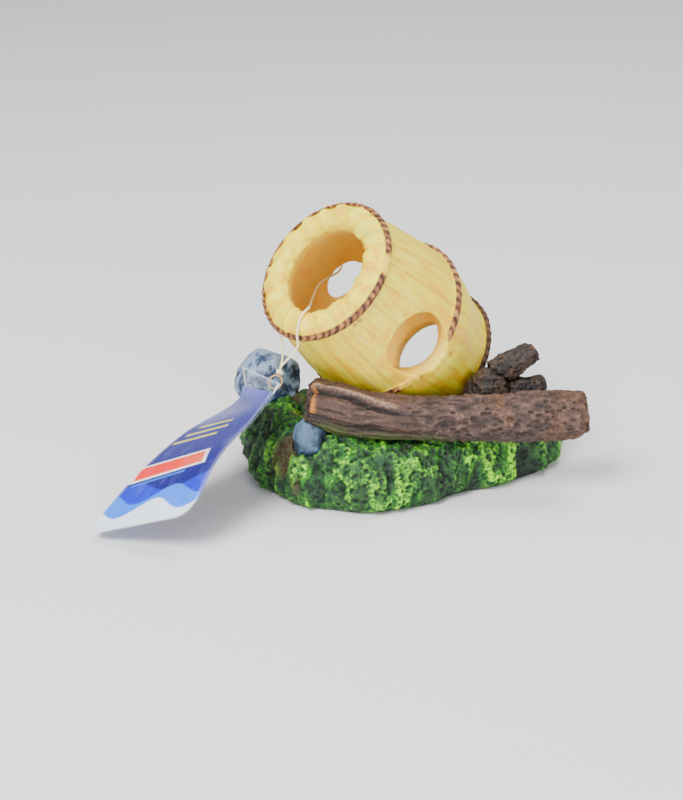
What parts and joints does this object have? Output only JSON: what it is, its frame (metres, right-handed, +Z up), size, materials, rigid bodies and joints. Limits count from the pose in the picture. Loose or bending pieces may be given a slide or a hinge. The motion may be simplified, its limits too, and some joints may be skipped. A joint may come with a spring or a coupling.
{
  "type": "aquarium bubbling ornament",
  "caption": "Tilted open barrel on a hollow mossy base with a log, root stubs and stones; an air stone under the barrel sends bubbles through it. Hang tag on a cord.",
  "frame": {"origin": "middle of the footprint of the casting and its air fitting, on the surface it stands on, leaving out the hang tag and its cord", "axes": "+X to the right along the front log, +Y to the back, where the air inlet is, +Z up"},
  "size_m": [0.1691, 0.1242, 0.0978],
  "materials": {
    "barrel": "painted cast resin, satin, straw yellow dry-brushed with ochre",
    "twine": "painted resin relief, brown with pinkish highlights",
    "bark": "painted resin bark, grey-brown dry-brushed",
    "moss": "painted resin moss, dark green with lime highlights",
    "stone": "painted resin stone, blue-grey with white highlights",
    "air_plastic": "natural moulded plastic",
    "silicone": "translucent silicone",
    "air_stone": "sintered mineral, coarse",
    "print": "printed card under gloss laminate",
    "film": "clear film",
    "cord": "thin twisted cotton"
  },
  "bodies": {
    "root": {"barrel_shell": "barrel", "rim_twine": "twine", "middle_twine_upper": "twine", "middle_twine_lower": "twine", "end_twine": "twine", "front_log": "bark", "root_knot": "bark", "upper_stub": "bark", "lower_stub": "bark", "rear_root": "bark", "moss_base": "moss", "left_rock": "stone", "front_stone": "stone", "air_stone": "air_stone", "stem_elbow": "air_plastic", "air_nipple": "air_plastic", "airline_hose": "silicone", "nipple_seal": "silicone", "tag_cord": "cord", "cord_knot": "cord"},
    "tag": {"tag_card": "print", "tag_film": "film"}
  },
  "joints": [
    {"name": "tag_swing", "type": "hinge", "parent": "root", "child": "tag", "pos_m": [-0.04733, -0.03414, 0.04174], "axis": [-0.4217, 0.8771, -0.2297], "range_deg": [0, 40]}
  ]
}
